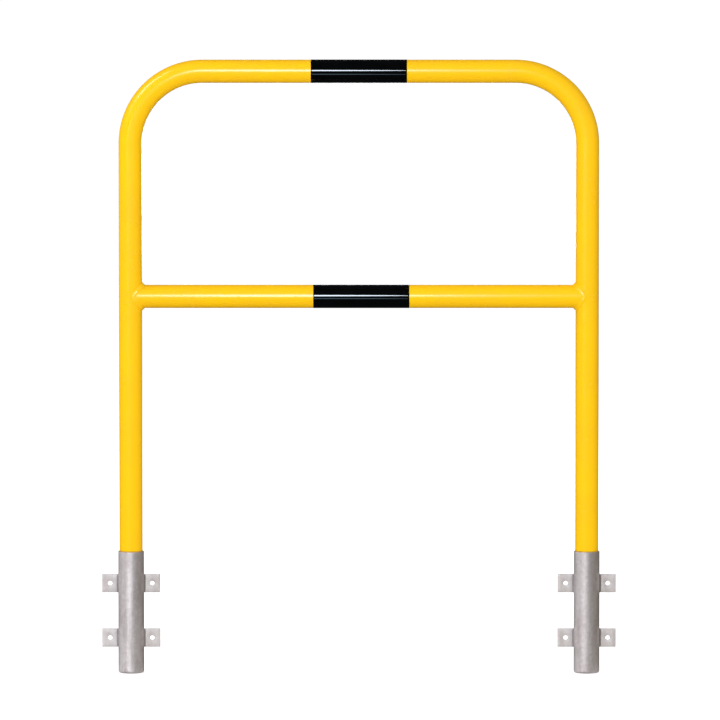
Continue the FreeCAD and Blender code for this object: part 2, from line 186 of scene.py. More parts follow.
class SeamSizes(bpy.types.PropertyGroup):
    """Sizes of the weld seams"""
    corner_leg: length("Corner leg", "Leg of the knee rail's seam in the corners above and below the rail",
                       0.0056)
    side_half: length("Half width", "Half the width of that seam on the front and back", 0.0051)
    side_crown: length("Side crown", "How far that seam stands out on the front and back", 0.0011)
    corner_crown: length("Corner crown", "How far that seam is rounded in the corners", 0.0002)
    tip: length("Seam tip", "From the leg's axis to the seam's line on the front", 0.0060)
    ripple: length("Ripple", "Height of the weld ripples", 0.00014)
    ripple_pitch: length("Ripple pitch", "From one weld ripple to the next", 0.0032)
    sink: length("Toe sink", "How deep the seams' edges run into the tube", 0.00012)
    tab_leg: length("Tab seam leg", "Leg of the seams on the anchor tabs", 0.0033)
    tab_crown: length("Tab seam crown", "How far the tab seams are rounded", 0.0006)
    tab_setback: length("Tab seam setback", "How far the tab seams stop short of the tab's edges", 0.0010)


class BandSizes(bpy.types.PropertyGroup):
    """Sizes of the black film bands"""
    film: length("Film", "Thickness of the film", 0.0002)
    lap: length("Lap", "Width of the double film at the back", 0.012)
    edge: length("Film edge", "Rounding of the film's edges", 0.00006)


class SocketSizes(bpy.types.PropertyGroup):
    """Sizes of the ground sockets and their anchor tabs"""
    diameter: length("Socket diameter", "Outside diameter of a socket", SOCKET_HIGH.x - SOCKET_LOW.x)
    wall: length("Socket wall", "Wall of a socket", 0.002)
    depth: length("Socket depth", "Length of a socket below ground level", SOCKET_HIGH.z - SOCKET_LOW.z)
    lip: length("Foot lip", "How far the foot is turned in under the leg", 0.006)
    foot_radius: length("Foot radius", "Rounding of the turned-in foot", 0.0042)
    rim_radius: length("Rim radius", "Rounding of the rim's edges", 0.0005)
    zinc_relief: length("Zinc relief", "Unevenness of the zinc coat", 0.00006)
    hole_diameter: length("Tab hole", "Diameter of the hole in each anchor tab", 0.0095)
    hole_reach: length("Hole reach", "From the socket's axis to a tab's hole", 0.044)
    tab_edge: length("Tab edge", "Rounding of the tabs' edges", 0.0005)


class Finishes(bpy.types.PropertyGroup):
    """Colours of the finishes"""
    yellow: colour("Yellow", "Powder coat", (0.97, 0.555, 0.002, 1.0))
    yellow_deep: colour("Deep yellow", "Powder coat where it lies thicker", (0.95, 0.525, 0.002, 1.0))
    black: colour("Black", "Film of the bands", (0.0004, 0.0005, 0.0007, 1.0))
    black_worn: colour("Worn black", "Film where it is handled", (0.0012, 0.0014, 0.0018, 1.0))
    zinc_bright: colour("Bright zinc", "Light crystals of the zinc coat", (0.67, 0.64, 0.655, 1.0))
    zinc_dull: colour("Dull zinc", "Dark crystals of the zinc coat", (0.41, 0.36, 0.36, 1.0))
    zinc_stain: colour("Zinc stain", "Runs and stains on the zinc coat", (0.28, 0.235, 0.225, 1.0))
    bare_steel: colour("Bare steel", "Inside of the tubes", (0.20, 0.195, 0.19, 1.0))
    # Painted shade: dark colour of the thin ring on the legs just above the sockets' rims
    rim_shade: colour("Dirt", "Ring of dirt on the legs at the rims", (0.10, 0.065, 0.03, 1.0))
    floor: colour("Floor", "Studio floor", (0.80, 0.80, 0.80, 1.0))


class StageSizes(bpy.types.PropertyGroup):
    """Camera, floor and light"""
    camera_distance: length("Camera distance", "From the hoop to the camera", 20.0)
    camera_tilt: FloatProperty(name="Camera tilt", description="How far the camera looks down",
                               default=radians(5.4), unit="ROTATION", subtype="ANGLE")
    aim_height: length("Aim height", "Height above ground level that the camera looks at", 0.4008)
    camera_aside: length("Camera aside", "How far the camera stands to the right", 0.0023)
    lens: FloatProperty(name="Lens", description="Focal length in millimetres", default=479.6, min=1.0)
    floor_size: length("Floor size", "Side of the square floor", 120.0)
    strip_light: light_level("Strip light", "strips that draw the line on the rails", 30.0)
    band_light: light_level("Band light", "strips that draw the line on the bands", 31.0)
    high_light: light_level("High light", "softbox above the camera", 17.0)
    key_light: light_level("Key light", "large softbox at the front left", 8.8)
    front_light: light_level("Front light", "low softbox at the front right", 17.5)
    top_light: light_level("Top light", "large softbox at the upper left", 4.5)
    side_light: light_level("Side light", "large softbox at the left", 1.2)
    left_light: light_level("Streak light", "slim softbox that draws the streak on the left bend", 21.0)
    zinc_light: light_level("Zinc light", "softboxes that only light the sockets", 5.85)
    low_light: light_level("Low light", "low strip that only lights the bands", 2.8)
    back_light: light_level("Back light", "softbox behind the hoop", 6.5)
    behind_light: light_level("Behind light", "strip that draws the line on the rails' backs", 9.0)
    fill: light_level("Fill", "light from all around", 0.625)


class HoopBarrier(bpy.types.PropertyGroup):
    """All sizes and colours of the hoop barrier"""
    hoop: PointerProperty(type=HoopSizes)
    seams: PointerProperty(type=SeamSizes)
    bands: PointerProperty(type=BandSizes)
    sockets: PointerProperty(type=SocketSizes)
    finishes: PointerProperty(type=Finishes)
    stage: PointerProperty(type=StageSizes)


def settings():
    """The sizes and colours of the open scene."""
    return bpy.context.scene.hoop_barrier


# Modelling steps

def ring_of(verts):
    """The edges that join these vertices."""
    inside = set(verts)
    return list(dict.fromkeys(e for v in verts for e in v.link_edges if e.other_vert(v) in inside))


def ends_of(edges):
    """The vertices of these edges."""
    return list(dict.fromkeys(v for e in edges for v in e.verts))


def verts_in(made):
    """The vertices among what an operator has made."""
    return [g for g in made if isinstance(g, bmesh.types.BMVert)]


def open_round(bm, radius, sides, place):
    """An open round of edges, which a tube or a hole starts from."""
    return bmesh.ops.create_circle(bm, cap_ends=False, segments=sides, radius=radius, matrix=place)["verts"]


def unit_sheet(bm, steps, strips):
    """A flat sheet of one by one, to be bent into a seam or stretched into a plate."""
    return bmesh.ops.create_grid(bm, x_segments=steps, y_segments=strips, size=0.5)["verts"]


def draw_on(bm, ring, move):
    """Extrudes an open ring of edges by a straight move and returns its new end."""
    verts = verts_in(bmesh.ops.extrude_edge_only(bm, edges=ring)["geom"])
    bmesh.ops.translate(bm, verts=verts, vec=move)
    return ring_of(verts)


def bend_on(bm, ring, centre):
    """Spins an open ring of edges a quarter turn to the right and returns its new end."""
    made = bmesh.ops.spin(bm, geom=ends_of(ring) + ring, cent=centre, axis=(0.0, 1.0, 0.0),
                          dvec=(0.0, 0.0, 0.0), angle=pi / 2, steps=BEND_STEPS,
                          use_merge=False, use_duplicate=False)["geom_last"]
    return [g for g in made if isinstance(g, bmesh.types.BMEdge)]


def outline_of(bm, points):
    """A closed outline of a few vertices, before it is rounded and spun."""
    verts = [bm.verts.new(p) for p in points]
    for first, second in zip(verts, verts[1:] + verts[:1]):
        bm.edges.new((first, second))
    return verts


def round_corner(bm, corner, radius, segments):
    """Rounds one corner of an outline."""
    bmesh.ops.bevel(bm, geom=[corner], offset=radius, offset_type="OFFSET", segments=segments, profile=0.5,
                    affect="VERTICES", material=-1, clamp_overlap=True)


def turn_full(bm, centre, axis, steps):
    """Spins an outline a full turn into a closed form."""
    bmesh.ops.spin(bm, geom=bm.verts[:] + bm.edges[:], cent=centre, axis=axis, dvec=(0.0, 0.0, 0.0),
                   angle=2.0 * pi, steps=steps, use_merge=True, use_duplicate=False)
    close_up(bm)


def close_up(bm):
    """Merges doubles and turns the faces outwards."""
    bmesh.ops.remove_doubles(bm, verts=bm.verts, dist=MERGE)
    bmesh.ops.dissolve_degenerate(bm, edges=bm.edges, dist=MERGE)
    bmesh.ops.recalc_face_normals(bm, faces=bm.faces)


def place_piece(bm, name, body, nodes, materials, sharp=SHARP):
    """Makes the mesh an object, gives it its finish and lets it stand for its CAD nodes."""
    for face in bm.faces:
        face.smooth = True
    for edge in bm.edges:
        edge.smooth = edge.is_manifold and edge.calc_face_angle(0.0) < radians(sharp)
    mesh = bpy.data.meshes.new(name)
    bm.to_mesh(mesh)
    bm.free()
    if not mesh.polygons:
        raise RuntimeError(f"{name} has no faces")
    for material in materials:
        mesh.materials.append(material)
    piece = bpy.data.objects.new(name, mesh)
    bpy.context.scene.collection.objects.link(piece)
    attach(piece, body)
    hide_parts(*nodes)
    return piece


def give_wall(piece, wall, broken_edge):
    """Gives a tube its wall, bare on the inside, and breaks its cut edges."""
    shell = piece.modifiers.new("Tube wall", "SOLIDIFY")
    shell.thickness = wall
    shell.offset = -1.0
    shell.material_offset = 1
    shell.material_offset_rim = 0
    if broken_edge:
        edge = piece.modifiers.new("Broken edges", "BEVEL")
        edge.limit_method = "ANGLE"
        edge.angle_limit = radians(SHARP)
        edge.width = broken_edge
        edge.segments = FINE_EDGE_STEPS
        edge.profile = 0.5
        edge.material = -1


def socket_axis(side):
    """How far to the right the axis of a socket stands."""
    low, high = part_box(f"{side}_socket_tube")
    return (low.x + high.x) / 2


def each_tab():
    """Side, level and flank of each anchor tab, and the name of its CAD node."""
    return [(side, level, flank, f"{side}_socket_{level}_{flank}_tab")
            for side in SIDES for level in LEVELS for flank in FLANKS]


def cope_line(part, radius, tip):
    """How far from the leg's axis the rail ends, at a height on the rail as a share of its radius."""
    share = tip / radius
    return radius * sqrt(part * part * (1.0 - share * share) + share * share)


def bead_wave(run, across, pitch):
    """Weld ripple from 0 to 1 at a length along the seam and a place across it from -1 to 1."""
    slow, quick, swell = 61.0 * run, 139.0 * run + 1.1, 211.0 * run + 0.7
    arch = 0.55 * across * across
    drift = 0.8 * sin(slow) + 0.5 * sin(quick)
    crest = 0.5 + 0.5 * cos(2.0 * pi * (run / pitch + arch) + drift)
    return crest * (0.75 + 0.25 * sin(swell))


def seam_section(across, first_toe, last_toe, root, outward, depth, crown, run):
    """A point of a seam's section: its rippled face from toe to toe, then back through its buried root."""
    sizes = settings().seams
    if across <= FACE_SHARE:
        share = across / FACE_SHARE
        off = 2.0 * share - 1.0
        height = crown + sizes.ripple * (bead_wave(run, off, sizes.ripple_pitch) - 0.5)
        return first_toe.lerp(last_toe, share) + outward * (1.0 - off * off) * height
    share = (across - FACE_SHARE) / (1.0 - FACE_SHARE)
    buried = root - outward * depth
    return last_toe.lerp(buried, share).lerp(buried.lerp(first_toe, share), share)


# Finishes

NUMBER = "NodeSocketFloat"
TONE = "NodeSocketColor"
DIRECTION = "NodeSocketVector"


def add_group(name, inputs, outputs):
    """An empty shader node group with named sockets."""
    group = bpy.data.node_groups.new(name, "ShaderNodeTree")
    for label, kind, default in inputs:
        group.interface.new_socket(label, in_out="INPUT", socket_type=kind).default_value = default
    for label, kind in outputs:
        group.interface.new_socket(label, in_out="OUTPUT", socket_type=kind)
    return group, group.nodes.new("NodeGroupInput"), group.nodes.new("NodeGroupOutput")


def feed(tree, value, socket):
    """Links another node's output to a socket, or sets the socket to a plain value."""
    if isinstance(value, bpy.types.NodeSocket):
        tree.links.new(value, socket)
    else:
        socket.default_value = value


def noise_in(tree, vector, scale, detail, roughness=0.5):
    """A noise texture on a vector."""
    node = tree.nodes.new("ShaderNodeTexNoise")
    node.inputs["Detail"].default_value = detail
    node.inputs["Roughness"].default_value = roughness
    tree.links.new(vector, node.inputs["Vector"])
    feed(tree, scale, node.inputs["Scale"])
    return node


def spread(tree, value, low, high, to_low=0.0, to_high=1.0):
    """Stretches part of a value's range to another range."""
    node = tree.nodes.new("ShaderNodeMapRange")
    node.inputs["From Min"].default_value = low
    node.inputs["From Max"].default_value = high
    node.inputs["To Min"].default_value = to_low
    node.inputs["To Max"].default_value = to_high
    tree.links.new(value, node.inputs["Value"])
    return node.outputs["Result"]


def mix_colour(tree, mask, first, second):
    """Mixes two colours by a mask or a fixed share."""
    node = tree.nodes.new("ShaderNodeMix")
    node.data_type = "RGBA"
    feed(tree, mask, node.inputs["Factor"])
    feed(tree, first, node.inputs["A"])
    feed(tree, second, node.inputs["B"])
    return node.outputs["Result"]


def reckon(tree, operation, *values):
    """A value worked out from one or more others."""
    node = tree.nodes.new("ShaderNodeMath")
    node.operation = operation
    for value, socket in zip(values, node.inputs):
        feed(tree, value, socket)
    return node.outputs["Value"]


def sum_of(tree, first, second, share):
    """First plus a share of second."""
    return reckon(tree, "MULTIPLY_ADD", second, share, first)


def surface_place(tree, stretch=None):
    """Object coordinates, stretched where a stretch is given."""
    place = tree.nodes.new("ShaderNodeTexCoord").outputs["Object"]
    if stretch is None:
        return place
    mapping = tree.nodes.new("ShaderNodeMapping")
    tree.links.new(place, mapping.inputs["Vector"])
    feed(tree, stretch, mapping.inputs["Scale"])
    return mapping.outputs["Vector"]


def tone_drift_group():
    """Slow drift between two colours, and the mask that drives it."""
    name = "Tone drift"
    if name in bpy.data.node_groups:
        return bpy.data.node_groups[name]
    group, given, result = add_group(
        name,
        [("First", TONE, (1.0, 1.0, 1.0, 1.0)), ("Second", TONE, (0.5, 0.5, 0.5, 1.0)),
         ("Scale", NUMBER, 10.0), ("Stretch", DIRECTION, (1.0, 1.0, 1.0))],
        [("Tone", TONE), ("Mask", NUMBER)])
    place = surface_place(group, given.outputs["Stretch"])
    cloud = noise_in(group, place, given.outputs["Scale"], detail=5.0, roughness=0.55)
    mask = spread(group, cloud.outputs["Fac"], low=0.32, high=0.68)
    tone = mix_colour(group, mask, given.outputs["First"], given.outputs["Second"])
    group.links.new(tone, result.inputs["Tone"])
    group.links.new(mask, result.inputs["Mask"])
    return group


def coat_peel_group():
    """The fine waves of a coat that has flowed out, as a height, and specks of dust on it, as a mask."""
    name = "Coat peel"
    if name in bpy.data.node_groups:
        return bpy.data.node_groups[name]
    group, given, result = add_group(
        name, [("Scale", NUMBER, 400.0)], [("Height", NUMBER), ("Dust", NUMBER)])
    place = surface_place(group)
    peel = noise_in(group, place, given.outputs["Scale"], detail=1.0, roughness=0.4)
    specks = noise_in(group, place, scale=2600.0, detail=0.0)
    group.links.new(peel.outputs["Fac"], result.inputs["Height"])
    group.links.new(spread(group, specks.outputs["Fac"], low=0.66, high=0.80), result.inputs["Dust"])
    return group


def rim_shade_group():
    """A faint ring of painted shade on each leg where it leaves its socket, as a mask."""
    name = "Rim ring"
    if name in bpy.data.node_groups:
        return bpy.data.node_groups[name]
    group, given, result = add_group(
        name, [("Level", NUMBER, 0.0), ("Strength", NUMBER, 0.3)], [("Mask", NUMBER)])
    parts = group.nodes.new("ShaderNodeSeparateXYZ")
    group.links.new(surface_place(group), parts.inputs["Vector"])
    away = reckon(group, "SUBTRACT", parts.outputs["Z"], given.outputs["Level"])
    distance = reckon(group, "ABSOLUTE", away)
    ring = spread(group, distance, RING_HALF, RING_FADE, to_low=1.0, to_high=0.0)
    group.links.new(reckon(group, "MULTIPLY", ring, given.outputs["Strength"]), result.inputs["Mask"])
    return group


def zinc_bloom_group():
    """Crystals, runs and grains of a hot-dip zinc coat, as masks and a height."""
    name = "Zinc bloom"
    if name in bpy.data.node_groups:
        return bpy.data.node_groups[name]
    group, given, result = add_group(
        name,
        [("Crystals", NUMBER, 160.0), ("Runs", NUMBER, 60.0)],
        [("Crystal", NUMBER), ("Run", NUMBER), ("Height", NUMBER)])
    warp_reach = 0.008
    place = surface_place(group)
    warp = noise_in(group, place, scale=90.0, detail=3.0)
    moved = group.nodes.new("ShaderNodeVectorMath")
    moved.operation = "MULTIPLY_ADD"
    group.links.new(warp.outputs["Color"], moved.inputs[0])
    moved.inputs[1].default_value = (warp_reach, warp_reach, warp_reach)
    group.links.new(place, moved.inputs[2])
    cells = group.nodes.new("ShaderNodeTexVoronoi")
    cells.feature = "SMOOTH_F1"
    cells.inputs["Smoothness"].default_value = 0.35
    group.links.new(given.outputs["Crystals"], cells.inputs["Scale"])
    group.links.new(moved.outputs["Vector"], cells.inputs["Vector"])
    tint = group.nodes.new("ShaderNodeSeparateColor")
    group.links.new(cells.outputs["Color"], tint.inputs["Color"])
    grain = noise_in(group, place, scale=700.0, detail=4.0, roughness=0.65).outputs["Fac"]
    crystal = spread(group, tint.outputs["Red"], low=0.1, high=0.9, to_low=0.12, to_high=0.48)
    drawn_far, drawn = surface_place(group, (1.0, 1.0, 0.16)), surface_place(group, (1.0, 1.0, 0.3))
    runs = noise_in(group, drawn_far, given.outputs["Runs"], detail=6.0, roughness=0.6)
    lumps = noise_in(group, drawn, scale=240.0, detail=2.0)
    group.links.new(sum_of(group, crystal, grain, share=0.4), result.inputs["Crystal"])
    group.links.new(spread(group, runs.outputs["Fac"], low=0.46, high=0.72), result.inputs["Run"])
    group.links.new(sum_of(group, lumps.outputs["Fac"], grain, share=0.25), result.inputs["Height"])
    return group


def use_group(tree, group, **values):
    """Places a node group in a material with its own values."""
    node = tree.nodes.new("ShaderNodeGroup")
    node.node_tree = group
    for label, value in values.items():
        node.inputs[label.capitalize()].default_value = value
    return node


def new_finish(name):
    """A new material, its tree and its shader, or None for the tree if it was made before."""
    if name in bpy.data.materials:
        return bpy.data.materials[name], None, None
    material = bpy.data.materials.new(name)
    material.use_nodes = True
    return material, material.node_tree, material.node_tree.nodes["Principled BSDF"]


def raise_surface(tree, shader, height, strength, distance):
    """Gives the shader a bump from a height."""
    bump = tree.nodes.new("ShaderNodeBump")
    bump.inputs["Strength"].default_value = strength
    bump.inputs["Distance"].default_value = distance
    tree.links.new(height, bump.inputs["Height"])
    tree.links.new(bump.outputs["Normal"], shader.inputs["Normal"])


def dull_with_dust(tree, shader, drift, peel, dust_share, low, high):
    """Lets the roughness follow the drift of the tone and the specks of dust."""
    dusty = sum_of(tree, drift.outputs["Mask"], peel.outputs["Dust"], dust_share)
    tree.links.new(spread(tree, dusty, 0.0, 1.0 + dust_share, low, high), shader.inputs["Roughness"])


def powder_coat(name, peel_scale, peel_strength):
    """Gloss yellow powder coat with a fine peel, and a painted shade ring where a leg leaves its socket."""
    material, tree, shader = new_finish(name)
    if tree is None:
        return material
    colours = settings().finishes
    drift = use_group(tree, tone_drift_group(), first=colours.yellow, second=colours.yellow_deep, scale=14.0)
    peel = use_group(tree, coat_peel_group(), scale=peel_scale)
    # Painted shade: a thin dark ring darkens each leg just above its socket's rim
    ring = use_group(tree, rim_shade_group(), level=RING_LEVEL, strength=RING_STRENGTH)
    tone = mix_colour(tree, ring.outputs["Mask"], drift.outputs["Tone"], tuple(colours.rim_shade))
    tree.links.new(tone, shader.inputs["Base Color"])
    dull_with_dust(tree, shader, drift, peel, dust_share=0.6, low=0.23, high=0.31)
    shader.inputs["IOR"].default_value = 1.5
    raise_surface(tree, shader, peel.outputs["Height"], peel_strength, distance=0.0004)
    return material


def black_film():
    """Gloss black film, slightly wavy and faintly scuffed."""
    material, tree, shader = new_finish("Black film")
    if tree is None:
        return material
    colours = settings().finishes
    drift = use_group(tree, tone_drift_group(), first=colours.black, second=colours.black_worn, scale=40.0,
                      stretch=(0.4, 1.0, 1.0))
    peel = use_group(tree, coat_peel_group(), scale=120.0)
    tree.links.new(drift.outputs["Tone"], shader.inputs["Base Color"])
    dull_with_dust(tree, shader, drift, peel, dust_share=0.8, low=0.05, high=0.08)
    raise_surface(tree, shader, peel.outputs["Height"], strength=0.002, distance=0.0003)
    return material


def galvanised(name, bright, dull, metallic, rough_low, rough_high, relief):
    """Hot-dip zinc: crystals in two greys, stained runs and an uneven surface."""
    material, tree, shader = new_finish(name)
    if tree is None:
        return material
    patch_share, stain_share = 0.32, 0.42
    bloom = use_group(tree, zinc_bloom_group(), crystals=170.0, runs=70.0)
    drift = use_group(tree, tone_drift_group(), first=bright, second=dull, scale=55.0,
                      stretch=(1.0, 1.0, 0.22))
    crystals = mix_colour(tree, bloom.outputs["Crystal"], dull, bright)
    patches = mix_colour(tree, patch_share, crystals, drift.outputs["Tone"])
    stain = spread(tree, bloom.outputs["Run"], 0.0, 1.0, to_low=0.0, to_high=stain_share)
    tone = mix_colour(tree, stain, patches, tuple(settings().finishes.zinc_stain))
    tree.links.new(tone, shader.inputs["Base Color"])
    shine = sum_of(tree, bloom.outputs["Crystal"], drift.outputs["Mask"], share=-0.5)
    tree.links.new(spread(tree, shine, -0.5, 1.0, rough_high, rough_low), shader.inputs["Roughness"])
    shader.inputs["Metallic"].default_value = metallic
    raise_surface(tree, shader, bloom.outputs["Height"], relief, distance=0.0006)
    return material


def darker(tone, share):
    """A colour at a share of its brightness."""
    return tuple(share * part for part in tuple(tone)[:3]) + (1.0,)


def yellow_finish():
    """Powder coat of tube and rail."""
    return powder_coat("Yellow powder coat", peel_scale=420.0, peel_strength=0.006)


def yellow_seam_finish():
    """Powder coat where it lies over a weld seam."""
    return powder_coat("Yellow powder coat on seams", peel_scale=700.0, peel_strength=0.08)


def zinc_finish():
    """Zinc of the sockets."""
    colours = settings().finishes
    return galvanised("Galvanised steel", tuple(colours.zinc_bright), tuple(colours.zinc_dull),
                      metallic=0.68, rough_low=0.40, rough_high=0.52, relief=0.18)


def zinc_tab_finish():
    """Zinc of the flat tabs, which is more even and less metallic."""
    colours = settings().finishes
    share = 0.785
    even = [0.5 * (a + b) for a, b in zip(colours.zinc_bright, colours.zinc_dull)]
    return galvanised("Galvanised tab steel", darker(colours.zinc_bright, share), darker(even, share),
                      metallic=0.35, rough_low=0.42, rough_high=0.6, relief=0.3)


def zinc_seam_finish():
    """Rougher zinc over the tab seams, darkened partly as duller weld zinc, partly as painted shade."""
    colours = settings().finishes
    # Painted shade: the darkening stands in for the shade in the crease between tab and socket
    share = 0.52
    return galvanised("Galvanised seam", darker(colours.zinc_bright, share), darker(colours.zinc_dull, share),
                      metallic=0.55, rough_low=0.42, rough_high=0.58, relief=0.5)


def bare_finish():
    """Bare steel inside the tubes."""
    colours = settings().finishes
    return galvanised("Bare steel bore", tuple(colours.zinc_stain), tuple(colours.bare_steel),
                      metallic=0.6, rough_low=0.5, rough_high=0.72, relief=0.3)


# Pieces

class HOOPBARRIER_OT_hoop_tube(bpy.types.Operator):
    """Bend the hoop from one tube: leg, bend, top rail, bend and leg"""
    bl_idname = "hoop_barrier.hoop_tube"
    bl_label = "Hoop tube"

    def execute(self, context):
        sizes = settings().hoop
        radius = sizes.tube_diameter / 2
        foot = -sizes.leg_depth
        bend_level = sizes.height - radius - sizes.bend_radius
        bend_reach = sizes.leg_axis - sizes.bend_radius
        bm = bmesh.new()
        start = open_round(bm, radius, TUBE_SIDES, Matrix.Translation((-sizes.leg_axis, 0.0, foot)))
        ring = draw_on(bm, ring_of(start), (0.0, 0.0, END_LAND))
        ring = draw_on(bm, ring, (0.0, 0.0, bend_level - foot - END_LAND))
        ring = bend_on(bm, ring, (-bend_reach, 0.0, bend_level))
        ring = draw_on(bm, ring, (2.0 * bend_reach, 0.0, 0.0))
        ring = bend_on(bm, ring, (bend_reach, 0.0, bend_level))
        ring = draw_on(bm, ring, (0.0, 0.0, foot + END_LAND - bend_level))
        draw_on(bm, ring, (0.0, 0.0, -END_LAND))
        close_up(bm)
        piece = place_piece(bm, "yellow_hoop", HOOP, ["hoop_tube"],
                            [yellow_finish(), bare_finish()])
        give_wall(piece, sizes.tube_wall, sizes.broken_edge)
        return {"FINISHED"}


class HOOPBARRIER_OT_knee_rail(bpy.types.Operator):
    """Draw the knee rail between the legs and cope both its ends to them"""
    bl_idname = "hoop_barrier.knee_rail"
    bl_label = "Knee rail"

    def execute(self, context):
        sizes = settings().hoop
        radius = sizes.tube_diameter / 2
        reach = sizes.leg_axis - radius - END_LAND
        lying = Matrix.Rotation(pi / 2, 4, "Y")
        place = Matrix.Translation((-sizes.leg_axis, 0.0, sizes.knee_height)) @ lying
        bm = bmesh.new()
        left = open_round(bm, radius, TUBE_SIDES, place)
        ring = draw_on(bm, ring_of(left), (sizes.leg_axis - reach, 0.0, 0.0))
        ring = draw_on(bm, ring, (2.0 * reach, 0.0, 0.0))
        ring = draw_on(bm, ring, (sizes.leg_axis - reach, 0.0, 0.0))
        for side, verts in ((-1.0, left), (1.0, ends_of(ring))):
            for vert in verts:
                part = (vert.co.z - sizes.knee_height) / radius
                vert.co.x = side * (sizes.leg_axis - cope_line(part, radius, settings().seams.tip))
        close_up(bm)
        piece = place_piece(bm, "yellow_knee_rail", HOOP, ["knee_rail"],
                            [yellow_finish(), bare_finish()])
        give_wall(piece, sizes.tube_wall, 0.0)
        return {"FINISHED"}


class HOOPBARRIER_OT_rail_seams(bpy.types.Operator):
    """Wrap a rippled weld seam round each coped end of the knee rail"""
    bl_idname = "hoop_barrier.rail_seams"
    bl_label = "Knee rail seams"

    def seam_point(self, turn, across, start):
        """A point of the seam in the joint's own frame, at a turn round the rail and a place on the section."""
        sizes = settings().seams
        radius = settings().hoop.tube_diameter / 2
        up, out = cos(turn), sin(turn)
        reach = cope_line(up, radius, sizes.tip) / radius
        lean = up / reach
        root = Vector((reach, out, up)) * radius
        wobble = 1.0 + 0.05 * sin(9.0 * turn + start) + 0.03 * sin(23.0 * turn + 2.0 * start)
        width = (sizes.side_half + up * up * (sizes.corner_leg - sizes.side_half)) * wobble
        crown = sizes.side_crown + up * up * (sizes.corner_crown - sizes.side_crown)
        outward = Vector((reach, 2.0 * out, up)).normalized()
        leg_toe = root + Vector((-out * out, reach * out, lean)).normalized() * width
        rail_toe = root + Vector((1.0, reach * out, -lean * out * out)).normalized() * width
        leg_toe.xy = leg_toe.xy.normalized() * (radius - sizes.sink)
        rail_toe.yz = rail_toe.yz.normalized() * (radius - sizes.sink)
        run = SEAM_LINE * radius * turn + start
        return seam_section(across, leg_toe, rail_toe, root, outward, SEAM_ROOT, crown, run)

    def execute(self, context):
        sizes = settings().hoop
        bm = bmesh.new()
        for facing, start in ((1.0, 0.0), (-1.0, RAIL_SEAM_SHIFT)):
            for vert in unit_sheet(bm, SEAM_STEPS, SEAM_STRIPS):
                point = self.seam_point(2.0 * pi * (vert.co.x + 0.5), vert.co.y + 0.5, start)
                vert.co = (facing * (point.x - sizes.leg_axis), facing * point.y, sizes.knee_height + point.z)
        close_up(bm)
        place_piece(bm, "yellow_rail_seams", HOOP, ["knee_rail_welds"], [yellow_seam_finish()],
                    sharp=SEAM_SHARP)
        return {"FINISHED"}


class HOOPBARRIER_OT_bands(bpy.types.Operator):
    """Wrap a black film band round the middle of each rail, with its lap at the back"""
    bl_idname = "hoop_barrier.bands"
    bl_label = "Black bands"

    def make_band(self, name, node):
        """One band, as a spun film whose strip at the back is raised into the lap."""
        sizes = settings().bands
        low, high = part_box(node)
        middle = (low.z + high.z) / 2
        outside = (high.z - low.z) / 2
        inside = outside - sizes.film
        bm = bmesh.new()
        corners = [(low.x, inside), (low.x, outside), (low.x + END_LAND, outside),
                   (high.x - END_LAND, outside), (high.x, outside), (high.x, inside)]
        verts = outline_of(bm, [(x, 0.0, middle + r) for x, r in corners])
        for corner in (verts[1], verts[4]):
            round_corner(bm, corner, sizes.edge, FINE_EDGE_STEPS)
        turn_full(bm, (0.0, 0.0, middle), (1.0, 0.0, 0.0), BAND_SIDES)
        half_lap = sizes.lap / 2
        facing_back = 0.9
        lap = [f for f in bm.faces
               if f.normal.y > facing_back and f.calc_area() > sizes.film * END_LAND
               and f.calc_center_median().y > outside - sizes.film
               and abs(f.calc_center_median().z - middle) < half_lap]
        for vert in verts_in(bmesh.ops.extrude_face_region(bm, geom=lap)["geom"]):
            away = Vector((0.0, vert.co.y, vert.co.z - middle))
            vert.co += away.normalized() * (sizes.film * LAP_SHARE)
        bmesh.ops.delete(bm, geom=lap, context="FACES")
        bmesh.ops.recalc_face_normals(bm, faces=bm.faces)
        place_piece(bm, name, HOOP, [node], [black_film()], sharp=FILM_SHARP)

    def execute(self, context):
        self.make_band("black_band_top", "top_rail_band")
        self.make_band("black_band_knee", "knee_rail_band")
        return {"FINISHED"}


class HOOPBARRIER_OT_sockets(bpy.types.Operator):
    """Turn the two socket tubes, with a rounded foot that is turned in under the leg"""
    bl_idname = "hoop_barrier.sockets"
    bl_label = "Ground sockets"

    def zinc_height(self, place):
        """Unevenness of the zinc at a place, drawn out along the socket."""
        drawn = Vector((place.x, place.y, ZINC_DRAW * place.z))
        ripple = ZINC_RIPPLE_SHARE * noise.noise(drawn * ZINC_RIPPLES)
        return noise.noise(drawn * ZINC_SWELLS) + ripple - ZINC_SINK

    def make_socket(self, side, node):
        """One socket, spun from its rounded section, with its zinc."""
        sizes = settings().sockets
        low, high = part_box(node)
        axis = socket_axis(side)
        outside = sizes.diameter / 2
        bore = outside - sizes.wall
        bm = bmesh.new()
        corners = [(outside, high.z), (outside, low.z), (bore - sizes.lip, low.z),
                   (bore - sizes.lip, low.z + sizes.wall), (bore, low.z + sizes.wall), (bore, high.z)]
        verts = outline_of(bm, [(axis + r, 0.0, z) for r, z in corners])
        round_corner(bm, verts[1], sizes.foot_radius, FOOT_STEPS)
        for corner in (verts[0], verts[2], verts[5]):
            round_corner(bm, corner, sizes.rim_radius, EDGE_STEPS)
        walls = [e for e in bm.edges if e.calc_length() > sizes.depth / 2]
        bmesh.ops.subdivide_edges(bm, edges=walls, cuts=SOCKET_RINGS)
        turn_full(bm, (axis, 0.0, 0.0), (0.0, 0.0, 1.0), SOCKET_SIDES)
        for vert in bm.verts:
            away = Vector((vert.co.x - axis, vert.co.y, 0.0))
            if away.length > outside - SKIN and low.z + PLAIN_FOOT < vert.co.z < high.z - PLAIN_RIM:
                vert.co += away.normalized() * sizes.zinc_relief * self.zinc_height(vert.co)
        place_piece(bm, f"{side}_socket", SOCKETS, [node], [zinc_finish()])

    def execute(self, context):
        for side in SIDES:
            self.make_socket(side, f"{side}_socket_tube")
        return {"FINISHED"}


